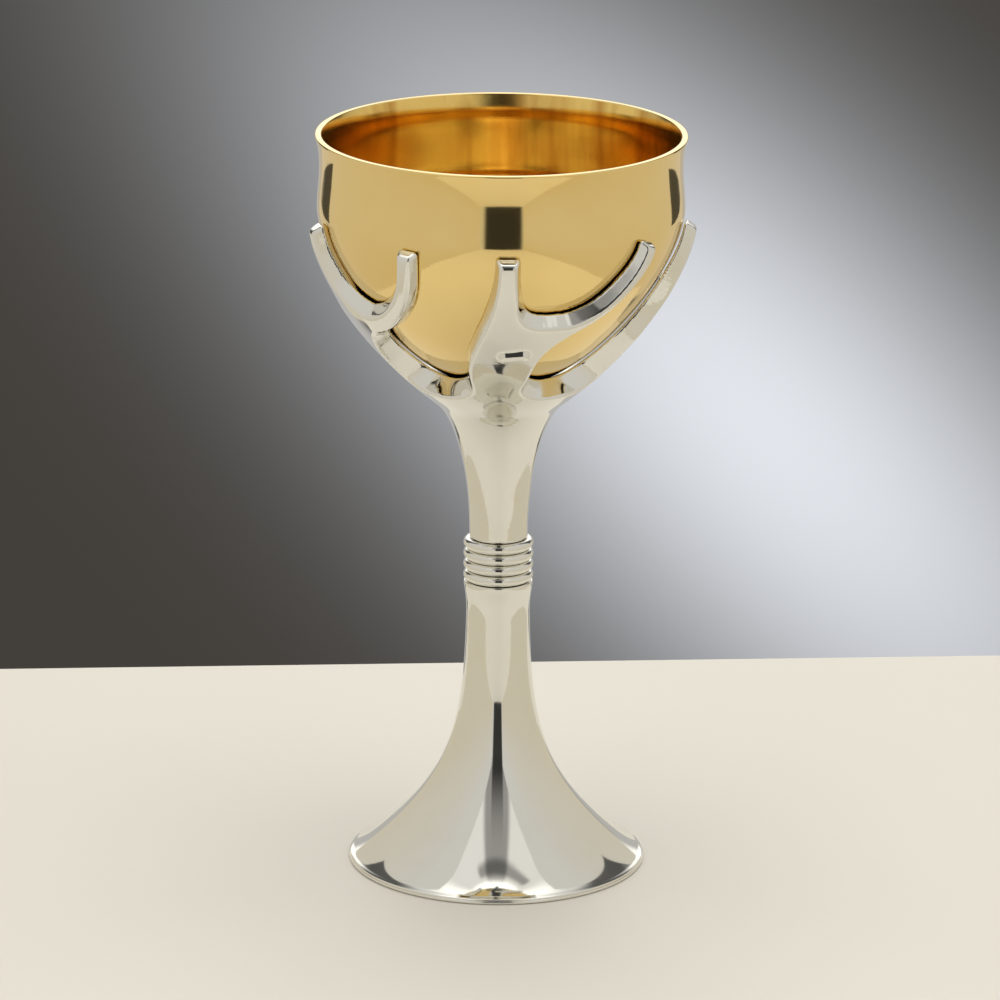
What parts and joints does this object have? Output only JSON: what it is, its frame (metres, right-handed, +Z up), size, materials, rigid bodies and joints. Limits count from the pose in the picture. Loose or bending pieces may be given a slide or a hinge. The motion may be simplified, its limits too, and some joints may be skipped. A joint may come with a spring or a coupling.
{
  "type": "communion chalice",
  "caption": "Stemmed ceremonial chalice: gilt tulip bowl held by forked silver branches, a stem with a ringed collar and a hollow trumpet foot.",
  "frame": {"origin": "centre of the foot, on the table", "axes": "+Z up along the stem, -Y to the front, where the branch with the twig stub is, +X to the right seen from the front"},
  "size_m": [0.0848, 0.0856, 0.165],
  "materials": {
    "gilt": "polished gilding, fine spin marks inside the bowl",
    "silver_plate": "polished silver plate, warm white",
    "brass": "turned",
    "steel": "zinc plated"
  },
  "bodies": {
    "root": {"bowl": "gilt", "bowl_boss": "gilt", "branch_cradle": "silver_plate", "collar_ring_1": "silver_plate", "collar_ring_2": "silver_plate", "collar_ring_3": "silver_plate", "collar_ring_4": "silver_plate", "joint_sleeve": "brass", "foot": "silver_plate", "foot_rim": "silver_plate", "tie_rod": "steel", "cup_washer": "steel", "lock_washer": "steel", "hex_nut": "steel"}
  },
  "joints": []
}
